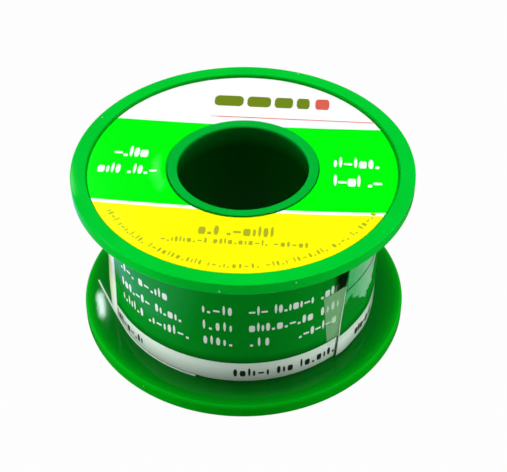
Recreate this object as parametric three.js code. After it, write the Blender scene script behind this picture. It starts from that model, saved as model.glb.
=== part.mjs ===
// A small reel of soft solder wire, lying on one flange. Two moulded flanges are pressed onto a
// core tube, the wire is wound between them with its cut end lying on the lower flange, a
// printed label goes round the winding and is closed by clear tape, and a ring-shaped sticker
// lies in the seat of the upper flange.
// Millimetres, +Z up. The origin is the centre of the face that the reel lies on.

import * as THREE from "three";

// Driving dimensions
const REEL_DIAMETER = 60;
const REEL_WIDTH = 32; // from the outer face of one flange to the outer face of the other
const BORE_DIAMETER = 23;
const TUBE_WALL = 1.7;
const TUBE_INSET = 0.25; // how far the tube's ends stand inside the flanges' outer faces
const TUBE_EDGE_RADIUS = 0.5; // rounding at the mouth of the bore

const FLANGE_THICKNESS = 2.85; // from the outer rim face to the inner face
const SEAT_DIAMETER = 54.5; // shallow round seat for the sticker
const SEAT_DEPTH = 0.7;
const RIM_WALL = 1.85; // straight part of the rim's side wall
const RIM_ROUNDING = 1.7; // width of the soft inner edge of the rim
const RIM_CORNER = 0.15; // small radius on the rim's outer corner
const COLLAR_LENGTH = 4; // sleeve inside each flange that grips the tube
const COLLAR_WALL = 1.4;

const WINDING_DIAMETER = 48.7; // over the last layer of wire
const WIRE_DIAMETER = 0.3;
const DRAWN_WIRE_DIAMETER = 0.6; // the outer layer is drawn with fewer and thicker turns
const DRAWN_TURNS = 24;
const TURNS_MARGIN = 0.25; // between the label's edges and the outermost turns' middle lines
const TURNS_END_ANGLE = 252; // degrees: where the last turn ends and the wire's free end begins

const LABEL_THICKNESS = 0.15;
const LABEL_MARGIN = 0.5; // bare winding between the label's edges and the flanges
const LABEL_END_ANGLE = 314.6; // degrees: the outer end of the label, where it overlaps
const LABEL_OVERLAP = 18; // degrees of label under that end
const TAPE_THICKNESS = 0.1;
const TAPE_START_ANGLE = 304.5; // degrees: the tape's two upright edges
const TAPE_END_ANGLE = 351;
const TAPE_LENGTH = 20.5;
const TAPE_RISE = 1; // how far the tape's middle lies above the label's
const STICKER_THICKNESS = 0.12;
const STICKER_MARGIN = 0.25; // bare seat round the sticker's outer and inner edges

const CLEARANCE = 0.04; // between pieces that touch on the real reel

// Values worked out from them
const TUBE_INNER = BORE_DIAMETER / 2;
const TUBE_OUTER = TUBE_INNER + TUBE_WALL;
const RIM_RADIUS = REEL_DIAMETER / 2;
const SEAT_RADIUS = SEAT_DIAMETER / 2;
const FLANGE_HOLE = TUBE_OUTER + CLEARANCE;
const COLLAR_RADIUS = FLANGE_HOLE + COLLAR_WALL;
const COLLAR_END = FLANGE_THICKNESS + COLLAR_LENGTH;
const LABEL_INNER = WINDING_DIAMETER / 2 + 2 * CLEARANCE;
const LABEL_BOTTOM = FLANGE_THICKNESS + LABEL_MARGIN;
const LABEL_HEIGHT = REEL_WIDTH - 2 * LABEL_BOTTOM;
const TURN_RADIUS = (WINDING_DIAMETER - DRAWN_WIRE_DIAMETER) / 2;

// Fineness of the curved surfaces
const ROUND_STEPS = 72; // facets round the reel
const TURN_STEPS = 24; // straight stretches in one turn of wire
const TURN_SIDES = 6; // sides of the wire in a turn
const END_SIDES = 8; // sides of the wire in its free end
const END_STEPS = 44; // straight stretches in the free end
const LABEL_STEP_ANGLE = 3; // degrees of label in one facet
const TAPE_STEP_ANGLE = 0.5; // degrees of tape in one facet

const flangePlastic = new THREE.MeshStandardMaterial({ color: 0x0cb23a, roughness: 0.3, metalness: 0 });
const tubePlastic = new THREE.MeshStandardMaterial({ color: 0x0aa838, roughness: 0.32, metalness: 0 });
const solder = new THREE.MeshStandardMaterial({ color: 0xb9bcc0, roughness: 0.35, metalness: 0.9 });
const labelPaper = new THREE.MeshStandardMaterial({ color: 0x0a7a26, roughness: 0.25, metalness: 0 });
const stickerPaper = new THREE.MeshStandardMaterial({ color: 0xf2f23a, roughness: 0.35, metalness: 0 });
const clearTape = new THREE.MeshStandardMaterial({
  color: 0xd8ddd6,
  roughness: 0.15,
  metalness: 0,
  transparent: true,
  opacity: 0.4,
});

const radians = (degrees) => (degrees * Math.PI) / 180;

function named(name, geometry, material) {
  const mesh = new THREE.Mesh(geometry, material);
  mesh.name = name;
  return mesh;
}

// Turns a closed outline of [radius, height] points about the reel's axis.
function turned(outline) {
  const points = outline.map(([radius, height]) => new THREE.Vector2(radius, height));
  points.push(points[0].clone());
  return new THREE.LatheGeometry(points, ROUND_STEPS).rotateX(Math.PI / 2);
}

// Points on a quarter of an ellipse about [radius, height], between two angles in degrees.
function arcPoints(centre, halfWidth, halfHeight, from, to, steps) {
  return Array.from({ length: steps + 1 }, (_, i) => {
    const angle = radians(from + ((to - from) * i) / steps);
    return [centre[0] + halfWidth * Math.cos(angle), centre[1] + halfHeight * Math.sin(angle)];
  });
}

// One moulded flange, outer face down: a disc with a raised rim round the sticker's seat, a soft
// inner edge, and a short collar that grips the tube inside the winding.
function flange() {
  return turned([
    [FLANGE_HOLE, SEAT_DEPTH],
    [SEAT_RADIUS, SEAT_DEPTH],
    [SEAT_RADIUS, 0],
    ...arcPoints([RIM_RADIUS - RIM_CORNER, RIM_CORNER], RIM_CORNER, RIM_CORNER, -90, 0, 2),
    ...arcPoints([RIM_RADIUS - RIM_ROUNDING, RIM_WALL], RIM_ROUNDING, FLANGE_THICKNESS - RIM_WALL, 0, 90, 5),
    [COLLAR_RADIUS, FLANGE_THICKNESS],
    [COLLAR_RADIUS, COLLAR_END],
    [FLANGE_HOLE, COLLAR_END],
  ]);
}

// The core tube: its bore takes the spindle, and its ends show as rings in both flanges.
function coreTube() {
  const bottom = TUBE_INSET;
  const top = REEL_WIDTH - TUBE_INSET;
  const edge = TUBE_EDGE_RADIUS;
  const mouth = TUBE_INNER + edge;
  return turned([
    ...arcPoints([mouth, bottom + edge], edge, edge, 180, 270, 3),
    [TUBE_OUTER, bottom],
    [TUBE_OUTER, top],
    ...arcPoints([mouth, top - edge], edge, edge, 90, 180, 3),
  ]);
}

// The inner layers of wire, as one solid that fills the space between tube, collars and flanges.
function innerWindings() {
  const bottom = FLANGE_THICKNESS + CLEARANCE;
  const top = REEL_WIDTH - bottom;
  const collarTop = COLLAR_END + CLEARANCE;
  const outer = TURN_RADIUS * Math.cos(Math.PI / TURN_STEPS) - DRAWN_WIRE_DIAMETER / 2 - CLEARANCE;
  const onTube = TUBE_OUTER + CLEARANCE;
  const onCollar = COLLAR_RADIUS + CLEARANCE;
  return turned([
    [onCollar, bottom],
    [outer, bottom],
    [outer, top],
    [onCollar, top],
    [onCollar, REEL_WIDTH - collarTop],
    [onTube, REEL_WIDTH - collarTop],
    [onTube, collarTop],
    [onCollar, collarTop],
  ]);
}

// The middle line of the outer layer: a helix from the upper flange down to the lower one, with
// a straight wire diameter at each end.
function outerTurnsPath() {
  const steps = DRAWN_TURNS * TURN_STEPS;
  const lowest = LABEL_BOTTOM + TURNS_MARGIN;
  const rise = (REEL_WIDTH - 2 * lowest) / steps;
  const path = Array.from({ length: steps + 1 }, (_, i) => {
    const angle = radians(TURNS_END_ANGLE) + ((steps - i) * 2 * Math.PI) / TURN_STEPS;
    const height = lowest + (steps - i) * rise;
    return new THREE.Vector3(TURN_RADIUS * Math.cos(angle), TURN_RADIUS * Math.sin(angle), height);
  });
  const along = (from, to) => to.clone().sub(from).setLength(DRAWN_WIRE_DIAMETER).add(to);
  path.unshift(along(path[1], path[0]));
  path.push(along(path.at(-2), path.at(-1)));
  return path;
}

// The least gap between one turn and the next, measured between points of different turns.
function leastGap(path, diameter) {
  let least = Infinity;
  path.forEach((point, i) => {
    for (let j = i + TURN_STEPS / 2; j < path.length; j += 1) {
      least = Math.min(least, point.distanceTo(path[j]));
    }
  });
  return least - diameter;
}

// One unbroken tube about a path that winds round the Z axis: a ring of points about each point
// of the path, joined to the next, and closed at both ends.
function woundTube(path, diameter, sides) {
  const positions = [];
  path.forEach((point, i) => {
    const before = path[Math.max(i - 1, 0)];
    const after = path[Math.min(i + 1, path.length - 1)];
    const forward = after.clone().sub(before).normalize();
    const outward = new THREE.Vector3(point.x, point.y, 0).normalize();
    const upward = forward.clone().cross(outward).normalize();
    outward.crossVectors(upward, forward);
    for (let side = 0; side < sides; side += 1) {
      const turn = (side * 2 * Math.PI) / sides;
      const corner = point
        .clone()
        .addScaledVector(outward, (diameter / 2) * Math.cos(turn))
        .addScaledVector(upward, (diameter / 2) * Math.sin(turn));
      positions.push(corner.x, corner.y, corner.z);
    }
  });
  const faces = [];
  const last = (path.length - 1) * sides;
  for (let ring = 0; ring < last; ring += sides) {
    for (let side = 0; side < sides; side += 1) {
      const next = (side + 1) % sides;
      faces.push(ring + side, ring + next, ring + sides + side);
      faces.push(ring + next, ring + sides + next, ring + sides + side);
    }
  }
  for (let side = 1; side < sides - 1; side += 1) {
    faces.push(0, side + 1, side);
    faces.push(last, last + side, last + side + 1);
  }
  const geometry = new THREE.BufferGeometry();
  geometry.setAttribute("position", new THREE.Float32BufferAttribute(positions, 3));
  geometry.setIndex(faces);
  return geometry;
}

// The free end of the wire: it comes out under the label's lower edge, lies along that edge on
// the lower flange, and leaves the winding in a straight line to its cut end near the rim.
const WIRE_END_ROUTE = [
  [-8.41, -23.12],
  [-10.01, -22.47],
  [-11.55, -21.72],
  [-13.04, -20.86],
  [-14.46, -19.9],
  [-15.81, -18.84],
  [-17.09, -17.7],
  [-18.28, -16.46],
  [-19.39, -15.15],
  [-20.39, -13.76],
  [-21.3, -12.3],
  [-22.11, -10.78],
  [-22.83, -9.34],
  [-23.55, -7.89],
  [-24.26, -6.44],
  [-24.96, -4.98],
  [-25.64, -3.52],
  [-26.31, -2.05],
  [-26.97, -0.58],
  [-27.62, 0.9],
];

function wireEnd() {
  const wireRadius = WIRE_DIAMETER / 2;
  const height = FLANGE_THICKNESS + CLEARANCE / 2 + wireRadius;
  const route = WIRE_END_ROUTE.map(([x, y]) => new THREE.Vector3(x, y, height));
  const corners = Array.from({ length: END_SIDES }, (_, side) => {
    const angle = ((side + 0.5) * 2 * Math.PI) / END_SIDES;
    return new THREE.Vector2(wireRadius * Math.cos(angle), wireRadius * Math.sin(angle));
  });
  return new THREE.ExtrudeGeometry(new THREE.Shape(corners), {
    steps: END_STEPS,
    bevelEnabled: false,
    extrudePath: new THREE.CatmullRomCurve3(route),
  });
}

// A thin strip wrapped round the reel's axis, from one angle to another in degrees, whose inner
// side keeps the radius that innerRadius gives for each angle.
function wrapped(from, to, step, thickness, bottom, height, innerRadius) {
  const steps = Math.ceil((to - from) / step);
  const angles = Array.from({ length: steps + 1 }, (_, i) => from + ((to - from) * i) / steps);
  const at = (angle, radius) =>
    new THREE.Vector2(radius * Math.cos(radians(angle)), radius * Math.sin(radians(angle)));
  const outerSide = angles.map((angle) => at(angle, innerRadius(angle) + thickness));
  const innerSide = angles.map((angle) => at(angle, innerRadius(angle))).reverse();
  const shape = new THREE.Shape([...outerSide, ...innerSide]);
  return new THREE.ExtrudeGeometry(shape, { depth: height, bevelEnabled: false }).translate(0, 0, bottom);
}

// The printed label: one turn round the winding and a little over, so its outer end lies on top
// of its inner end and comes down to the winding in the ten degrees past it.
const LAYER_STEP = LABEL_THICKNESS + CLEARANCE;
const UNDER_END_ANGLE = LABEL_END_ANGLE + LABEL_OVERLAP;
const labelInner = (angle) =>
  LABEL_INNER + LAYER_STEP * (1 - THREE.MathUtils.smoothstep(angle, UNDER_END_ANGLE + 1, UNDER_END_ANGLE + 11));

function wrapLabel() {
  return wrapped(
    LABEL_END_ANGLE,
    UNDER_END_ANGLE + 360,
    LABEL_STEP_ANGLE,
    LABEL_THICKNESS,
    LABEL_BOTTOM,
    LABEL_HEIGHT,
    labelInner,
  );
}

// Clear tape over the label's end, partly on the layer beneath and partly on the end itself. It
// climbs from one to the other in the last degree and a half before the label's edge.
function seamTape() {
  const climbFrom = LABEL_END_ANGLE - 1.6;
  const climbTo = LABEL_END_ANGLE - 0.3;
  const innerRadius = (angle) => {
    const climb = THREE.MathUtils.smoothstep(angle, climbFrom, climbTo);
    return THREE.MathUtils.lerp(LABEL_INNER, labelInner(angle), climb) + LABEL_THICKNESS + CLEARANCE;
  };
  return wrapped(
    TAPE_START_ANGLE,
    TAPE_END_ANGLE,
    TAPE_STEP_ANGLE,
    TAPE_THICKNESS,
    (REEL_WIDTH - TAPE_LENGTH) / 2 + TAPE_RISE,
    TAPE_LENGTH,
    innerRadius,
  );
}

// The ring-shaped sticker in the upper flange's seat.
function faceSticker() {
  const bottom = REEL_WIDTH - SEAT_DEPTH + CLEARANCE / 2;
  const top = bottom + STICKER_THICKNESS;
  const inner = TUBE_OUTER + STICKER_MARGIN;
  const outer = SEAT_RADIUS - STICKER_MARGIN;
  return turned([
    [inner, bottom],
    [outer, bottom],
    [outer, top],
    [inner, top],
  ]);
}

const reel = new THREE.Group();

reel.add(named("lower_flange", flange(), flangePlastic));

const upperFlange = named("upper_flange", flange(), flangePlastic);
upperFlange.rotation.x = Math.PI;
upperFlange.position.z = REEL_WIDTH;
reel.add(upperFlange);

reel.add(named("core_tube", coreTube(), tubePlastic));
reel.add(named("inner_windings", innerWindings(), solder));

const turnsPath = outerTurnsPath();
console.log("least gap between turns:", leastGap(turnsPath, DRAWN_WIRE_DIAMETER).toFixed(3), "mm");
reel.add(named("outer_turns", woundTube(turnsPath, DRAWN_WIRE_DIAMETER, TURN_SIDES), solder));

reel.add(named("wire_end", wireEnd(), solder));
reel.add(named("wrap_label", wrapLabel(), labelPaper));
reel.add(named("seam_tape", seamTape(), clearTape));
reel.add(named("face_sticker", faceSticker(), stickerPaper));

export default reel;
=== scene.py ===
# A small reel of soft solder wire, lying on one flange: two green moulded flanges on a core tube,
# wire wound between them, a glossy printed label round the winding and a sticker on the upper flange.
# Metres, +Z up. The reel's axis is the Z axis and it stands on z = 0.

import bpy
import numpy as np
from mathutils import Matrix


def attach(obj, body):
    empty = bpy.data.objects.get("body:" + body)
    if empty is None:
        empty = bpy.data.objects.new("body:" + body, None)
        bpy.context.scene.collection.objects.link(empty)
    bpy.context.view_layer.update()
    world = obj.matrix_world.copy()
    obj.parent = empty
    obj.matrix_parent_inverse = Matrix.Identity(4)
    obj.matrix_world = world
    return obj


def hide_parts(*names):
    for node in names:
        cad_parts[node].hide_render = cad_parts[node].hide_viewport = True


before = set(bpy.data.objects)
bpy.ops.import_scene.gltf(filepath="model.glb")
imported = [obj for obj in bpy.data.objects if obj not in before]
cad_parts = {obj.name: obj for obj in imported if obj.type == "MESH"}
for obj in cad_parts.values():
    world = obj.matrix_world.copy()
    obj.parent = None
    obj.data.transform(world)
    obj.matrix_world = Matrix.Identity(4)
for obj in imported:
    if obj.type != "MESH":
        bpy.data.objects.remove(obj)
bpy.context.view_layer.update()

MM = 0.001


# ---------------------------------------------------------------------------------------------
# Camera: the reel is seen from the front, 42 degrees above the bench, with a long lens.

CAMERA_ELEVATION = 42.107  # degrees
CAMERA_DISTANCE = 224.99 * MM
CAMERA_TARGET = (1.83 * MM, 0.0, 15.2 * MM)
CAMERA_SENSOR, CAMERA_LENS = 36, 87.1  # millimetres
CAMERA_NEAREST, CAMERA_FURTHEST = 10 * MM, 20

elevation = np.radians(CAMERA_ELEVATION)
camera_data = bpy.data.cameras.new("camera")
camera_data.sensor_width = CAMERA_SENSOR
camera_data.lens = CAMERA_LENS
camera_data.clip_start = CAMERA_NEAREST
camera_data.clip_end = CAMERA_FURTHEST
camera = bpy.data.objects.new("camera", camera_data)
camera.location = (
    CAMERA_TARGET[0],
    CAMERA_TARGET[1] - CAMERA_DISTANCE * np.cos(elevation),
    CAMERA_TARGET[2] + CAMERA_DISTANCE * np.sin(elevation),
)
camera.rotation_euler = (np.pi / 2 - elevation, 0, 0)
bpy.context.scene.collection.objects.link(camera)
bpy.context.scene.camera = camera


# ---------------------------------------------------------------------------------------------
# Wire end: the cut end of the 0.3 mm solder wire. It comes out from under the label's lower edge,
# lies along that edge on the lower flange, and runs out straight to where it was snipped.

WIRE_DIAMETER = 0.3 * MM
WIRE_CLEARANCE = 0.02 * MM  # between the wire and a flange's inner face
FLANGE_THICKNESS = 2.85 * MM  # from a flange's outer rim face to its inner face
WIRE_LOWEST = FLANGE_THICKNESS + WIRE_CLEARANCE + WIRE_DIAMETER / 2  # to the wire's middle
WIRE_END_ROUTE = np.array([
    (-8.41, -23.12), (-10.01, -22.47), (-11.55, -21.72), (-13.04, -20.86), (-14.46, -19.9),
    (-15.81, -18.84), (-17.09, -17.7), (-18.28, -16.46), (-19.39, -15.15), (-20.39, -13.76),
    (-21.3, -12.3), (-22.11, -10.78), (-22.83, -9.34), (-23.55, -7.89), (-24.26, -6.44),
    (-24.96, -4.98), (-25.64, -3.52), (-26.31, -2.05), (-26.97, -0.58), (-27.62, 0.9),
]) * MM
WIRE_END_STEPS = 6  # rings between two points of the route
WIRE_SIDES = 16
SHARP_FROM = 40  # degrees between two faces, past which their edge is drawn sharp


def surface(name, points, around=True, along=True, uv=None):
    """A mesh over a grid of points, points[i, j], or over several such grids, points[k, i, j]. Each
    square of a grid is one face, whose outside is the side that (step in i) x (step in j) points
    to. around closes the grid in i and along closes it in j. Where only j closes, the two open
    ends get a flat face each."""
    rows, columns = points.shape[-3:-1]
    i, j = np.meshgrid(np.arange(rows - (not around)), np.arange(columns - (not along)), indexing="ij")
    corner = lambda a, b: (a % rows) * columns + b % columns
    squares = np.stack([corner(i, j), corner(i + 1, j), corner(i + 1, j + 1), corner(i, j + 1)], -1)
    first = np.arange(points.size // (3 * rows * columns))[:, None, None] * rows * columns
    faces = (squares.reshape(1, -1, 4) + first).reshape(-1, 4).tolist()
    if along and not around:
        ends = np.stack([np.arange(columns), (rows * columns - 1) - np.arange(columns)])
        faces += (ends[None] + first).reshape(-1, columns).tolist()
    mesh = bpy.data.meshes.new(name)
    mesh.from_pydata(points.reshape(-1, 3).tolist(), [], faces)
    if uv is not None:
        order = np.zeros(len(mesh.loops), np.int32)
        mesh.loops.foreach_get("vertex_index", order)
        layer = mesh.uv_layers.new(name="surface")
        layer.uv.foreach_set("vector", uv.reshape(-1, 2)[order].ravel())
    mesh.polygons.foreach_set("use_smooth", [True] * len(mesh.polygons))
    mesh.set_sharp_from_angle(angle=np.radians(SHARP_FROM))
    mesh.update()
    piece = bpy.data.objects.new(name, mesh)
    bpy.context.scene.collection.objects.link(piece)
    return piece


def tube(name, path, diameter, sides):
    """A round tube about a path that is never vertical: at each point of the path, a circle in the
    plane of the level sideways direction and the direction square to it and to the path."""
    forward = np.gradient(path, axis=0)
    forward /= np.linalg.norm(forward, axis=1, keepdims=True)
    sideways = np.cross(forward, [0, 0, 1])
    sideways /= np.linalg.norm(sideways, axis=1, keepdims=True)
    upward = np.cross(sideways, forward)
    turn = np.linspace(0, 2 * np.pi, sides, endpoint=False)[None, :, None]
    ring = sideways[:, None] * np.cos(turn) + upward[:, None] * np.sin(turn)
    return surface(name, path[:, None] + diameter / 2 * ring, around=False)


def smooth_route(points, per_stretch):
    """A smooth curve through the points: each stretch is the cubic that meets its two ends with
    slopes half the distance between their neighbours (a Catmull-Rom curve)."""
    slope = np.gradient(points, axis=0)
    t = np.linspace(0, 1, per_stretch, endpoint=False)[None, :, None]
    a, b, m, n = points[:-1, None], points[1:, None], slope[:-1, None], slope[1:, None]
    leaving = (2 * t**3 - 3 * t**2 + 1) * a + (t**3 - 2 * t**2 + t) * m
    curve = leaving + (3 * t**2 - 2 * t**3) * b + (t**3 - t**2) * n
    return np.concatenate([curve.reshape(-1, points.shape[1]), points[-1:]])


def material(name, colour, roughness, **sockets):
    """A new material with its shader's plain values set, its node tree and its shader."""
    made = bpy.data.materials.new(name)
    made.use_nodes = True
    shader = made.node_tree.nodes["Principled BSDF"]
    shader.inputs["Base Color"].default_value = (*colour, 1)
    shader.inputs["Roughness"].default_value = roughness
    for socket, value in sockets.items():
        shader.inputs[socket.replace("_", " ")].default_value = value
    return made, made.node_tree, shader


def noise(tree, scale, detail=3.0, stretch=(1, 1, 1)):
    """Noise on Object coordinates, with scale in features per metre, stretched along each axis."""
    place = tree.nodes.new("ShaderNodeTexCoord")
    mapping = tree.nodes.new("ShaderNodeMapping")
    mapping.inputs["Scale"].default_value = stretch
    texture = tree.nodes.new("ShaderNodeTexNoise")
    texture.inputs["Scale"].default_value = scale
    texture.inputs["Detail"].default_value = detail
    tree.links.new(place.outputs["Object"], mapping.inputs["Vector"])
    tree.links.new(mapping.outputs["Vector"], texture.inputs["Vector"])
    return texture.outputs["Fac"]


def ranged(tree, value, low, high, to_low, to_high):
    """value, moved from the range low..high to the range to_low..to_high and held inside it."""
    node = tree.nodes.new("ShaderNodeMapRange")
    for socket, number in zip(("From Min", "From Max", "To Min", "To Max"), (low, high, to_low, to_high)):
        node.inputs[socket].default_value = number
    tree.links.new(value, node.inputs["Value"])
    return node.outputs["Result"]


def bump(tree, shader, height, depth):
    """Raises the shader's surface by height times depth, in metres."""
    node = tree.nodes.new("ShaderNodeBump")
    node.inputs["Strength"].default_value = 1.0
    node.inputs["Distance"].default_value = depth
    tree.links.new(height, node.inputs["Height"])
    tree.links.new(node.outputs["Normal"], shader.inputs["Normal"])


# Tin alloy: bright, slightly dull drawn metal with fine scratches along it.
SOLDER, SOLDER_ROUGHNESS = (0.90, 0.97, 0.94), (0.2, 0.4)
SCRATCH_SCALE, SCRATCH_STRETCH = 9000, (1, 1, 6)
SCRATCH_DEPTH = 0.004 * MM
NOISE_RANGE = (0.3, 0.7)  # where nearly all of a noise's values lie

solder_metal, tree, shader = material("solder_metal", SOLDER, roughness=0.28, Metallic=0.2)
grain = noise(tree, SCRATCH_SCALE, stretch=SCRATCH_STRETCH)
tree.links.new(ranged(tree, grain, *NOISE_RANGE, *SOLDER_ROUGHNESS), shader.inputs["Roughness"])
bump(tree, shader, grain, SCRATCH_DEPTH)

route = np.column_stack([WIRE_END_ROUTE, np.full(len(WIRE_END_ROUTE), WIRE_LOWEST)])
route = smooth_route(route, WIRE_END_STEPS)
wire_end = tube("wire_end_drawn", route, WIRE_DIAMETER, WIRE_SIDES)
wire_end.data.materials.append(solder_metal)
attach(wire_end, "root")
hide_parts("wire_end")


# ---------------------------------------------------------------------------------------------
# Core tube: a green plastic tube that the two flanges are pressed onto. Its bore takes the spindle,
# and its ends show as a ring with a rounded mouth in the middle of each flange.

REEL_WIDTH = 32 * MM
BORE_RADIUS = 11.5 * MM
TUBE_RADIUS = 13.2 * MM
TUBE_INSET = 0.25 * MM  # how far the tube's ends stand inside the flanges' outer faces
MOUTH_ROUNDING = 0.5 * MM
TUBE_CORNER = 0.1 * MM
ROUND_STEPS = 288  # facets round the reel
LONG_SIDE, SIDE_END = 0.4 * MM, 0.05 * MM
TUBE_GREEN = (0.0, 0.46, 0.035)
# Shade is painted into the bore: a darker green deep inside, fading out towards each mouth.
BORE_SHADE_GREEN = (0.0, 0.13, 0.005)
BORE_WALL = (0.1 * MM, 0.4 * MM)  # outside the bore's radius: where its painted shade is full, and gone
BORE_DEPTH = (4.5 * MM, 0.3 * MM)  # below the tube's end: where that painted shade is full, and gone


def arc(radius, height, half_width, half_height, start, end, steps=6):
    """Points on an ellipse about (radius, height), from the angle start to end, in degrees."""
    angle = np.radians(np.linspace(start, end, steps + 1))
    return np.column_stack([radius + half_width * np.cos(angle), height + half_height * np.sin(angle)])


def turned(name, *stretches):
    """A closed outline of (radius, height) points turned about the Z axis: the point (r, z) goes
    to (r cos a, r sin a, z) for each angle a. The outline runs anticlockwise, and each straight
    side longer than LONG_SIDE gets two more points, SIDE_END from its ends, which keep its shading
    flat."""
    outline = np.concatenate(stretches)
    side = np.roll(outline, -1, axis=0) - outline
    length = np.linalg.norm(side, axis=1, keepdims=True)
    near = SIDE_END / np.maximum(length, 1e-9)
    kept = np.repeat(length > LONG_SIDE, 3, axis=1)
    kept[:, 0] = True
    points = np.stack([outline, outline + near * side, outline + (1 - near) * side], 1)[kept]
    angle = np.linspace(0, 2 * np.pi, ROUND_STEPS, endpoint=False)[:, None]
    radius, height = points.T
    x, y, z = np.broadcast_arrays(radius * np.cos(angle), radius * np.sin(angle), height)
    return surface(name, np.stack([x, y, z], -1))


def maths(tree, operation, first, second):
    """A Math node on two values, each a socket or a number."""
    node = tree.nodes.new("ShaderNodeMath")
    node.operation = operation
    for socket, value in zip(node.inputs, (first, second)):
        if isinstance(value, (int, float)):
            socket.default_value = value
        else:
            tree.links.new(value, socket)
    return node.outputs["Value"]


def both(tree, first, second):
    """The product of two values. Of two masks it is the part where both hold."""
    return maths(tree, "MULTIPLY", first, second)


def away_from(tree, value, middle):
    """How far a value is above or below a middle."""
    return maths(tree, "ABSOLUTE", maths(tree, "SUBTRACT", value, middle), 0)


def place_on(tree):
    """The x, y and z of a point of a piece."""
    place = tree.nodes.new("ShaderNodeTexCoord")
    split = tree.nodes.new("ShaderNodeSeparateXYZ")
    tree.links.new(place.outputs["Object"], split.inputs["Vector"])
    return split.outputs


def axis_distance(tree):
    """The distance of a point from the reel's axis."""
    place = tree.nodes.new("ShaderNodeTexCoord")
    flat = tree.nodes.new("ShaderNodeVectorMath")
    flat.operation = "MULTIPLY"
    flat.inputs[1].default_value = (1, 1, 0)
    length = tree.nodes.new("ShaderNodeVectorMath")
    length.operation = "LENGTH"
    tree.links.new(place.outputs["Object"], flat.inputs[0])
    tree.links.new(flat.outputs["Vector"], length.inputs[0])
    return length.outputs["Value"]


def painted(tree, below, colour, mask):
    """A Mix node that lays a colour over another by a mask. below is a socket or a colour."""
    node = tree.nodes.new("ShaderNodeMix")
    node.data_type = "RGBA"
    if isinstance(below, tuple):
        node.inputs["A"].default_value = (*below, 1)
    else:
        tree.links.new(below, node.inputs["A"])
    node.inputs["B"].default_value = (*colour, 1)
    tree.links.new(mask, node.inputs["Factor"])
    return node.outputs["Result"]


def repainted(made, colour, mask):
    """Lays a colour over a moulded plastic's own by a mask, a socket in its node tree."""
    tree = made.node_tree
    base = tree.nodes["Principled BSDF"].inputs["Base Color"]
    tree.links.new(painted(tree, base.links[0].from_socket, colour, mask), base)


PATCH_SCALE, PATCH_RANGE = 90, (0.35, 0.65)
PATCH_DIMMING = 0.93
DUST = (0.7, 0.9, 0.7)
DUST_CELLS = 260  # per metre, each with one speck
SPECK_EDGE, SPECK_SHARE = (0.028, 0.05), 0.7  # a speck's solid and faded edge in its cell
SKIN_SCALE, SKIN_DEPTH = 1500, 0.0008 * MM
SKIN_SHINE = (-0.005, 0.01)  # what the skin adds to the roughness


def moulded_plastic(name, colour, roughness, specular, sheen=(1.0, 1.0, 1.0)):
    """Polystyrene moulding: saturated green in faint patches, a soft sheen, a fine skin texture and
    a few dust specks."""
    made, tree, shader = material(
        name, colour, roughness, Specular_IOR_Level=specular, Specular_Tint=(*sheen, 1.0)
    )
    dimmer = tuple(PATCH_DIMMING * part for part in colour)
    patches = ranged(tree, noise(tree, PATCH_SCALE, detail=2), *PATCH_RANGE, 0, 1)
    shade = painted(tree, dimmer, colour, patches)
    place = tree.nodes.new("ShaderNodeTexCoord")
    cells = tree.nodes.new("ShaderNodeTexVoronoi")
    cells.inputs["Scale"].default_value = DUST_CELLS
    tree.links.new(place.outputs["Object"], cells.inputs["Vector"])
    specks = ranged(tree, cells.outputs["Distance"], *SPECK_EDGE, SPECK_SHARE, 0)
    tree.links.new(painted(tree, shade, DUST, specks), shader.inputs["Base Color"])
    skin = noise(tree, SKIN_SCALE, detail=2)
    shine = ranged(tree, skin, *NOISE_RANGE, roughness + SKIN_SHINE[0], roughness + SKIN_SHINE[1])
    tree.links.new(shine, shader.inputs["Roughness"])
    bump(tree, shader, skin, SKIN_DEPTH)
    return made


tube_plastic = moulded_plastic("tube_plastic", TUBE_GREEN, roughness=0.12, specular=0.25)
tree = tube_plastic.node_tree
# Painted shade in the bore.
inside = ranged(tree, axis_distance(tree), BORE_RADIUS + BORE_WALL[0], BORE_RADIUS + BORE_WALL[1], 1, 0)
middle_distance = away_from(tree, place_on(tree)["Z"], REEL_WIDTH / 2)
depth_end = REEL_WIDTH / 2 - TUBE_INSET
deep = ranged(tree, middle_distance, depth_end - BORE_DEPTH[0], depth_end - BORE_DEPTH[1], 1, 0)
repainted(tube_plastic, BORE_SHADE_GREEN, both(tree, inside, deep))

mouth = BORE_RADIUS + MOUTH_ROUNDING
low, high = TUBE_INSET, REEL_WIDTH - TUBE_INSET
core_tube = turned(
    "core_tube_drawn",
    arc(mouth, low + MOUTH_ROUNDING, MOUTH_ROUNDING, MOUTH_ROUNDING, 180, 270, 10),
    arc(TUBE_RADIUS - TUBE_CORNER, low + TUBE_CORNER, TUBE_CORNER, TUBE_CORNER, -90, 0),
    arc(TUBE_RADIUS - TUBE_CORNER, high - TUBE_CORNER, TUBE_CORNER, TUBE_CORNER, 0, 90),
    arc(mouth, high - MOUTH_ROUNDING, MOUTH_ROUNDING, MOUTH_ROUNDING, 90, 180, 10),
)
core_tube.data.materials.append(tube_plastic)
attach(core_tube, "root")
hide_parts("core_tube")


# ---------------------------------------------------------------------------------------------
# Flanges: two equal plastic mouldings, outer faces outward. Each is a disc with a raised rim round
# the sticker's seat, a soft inner edge, and a short collar that grips the tube inside the winding.

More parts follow.
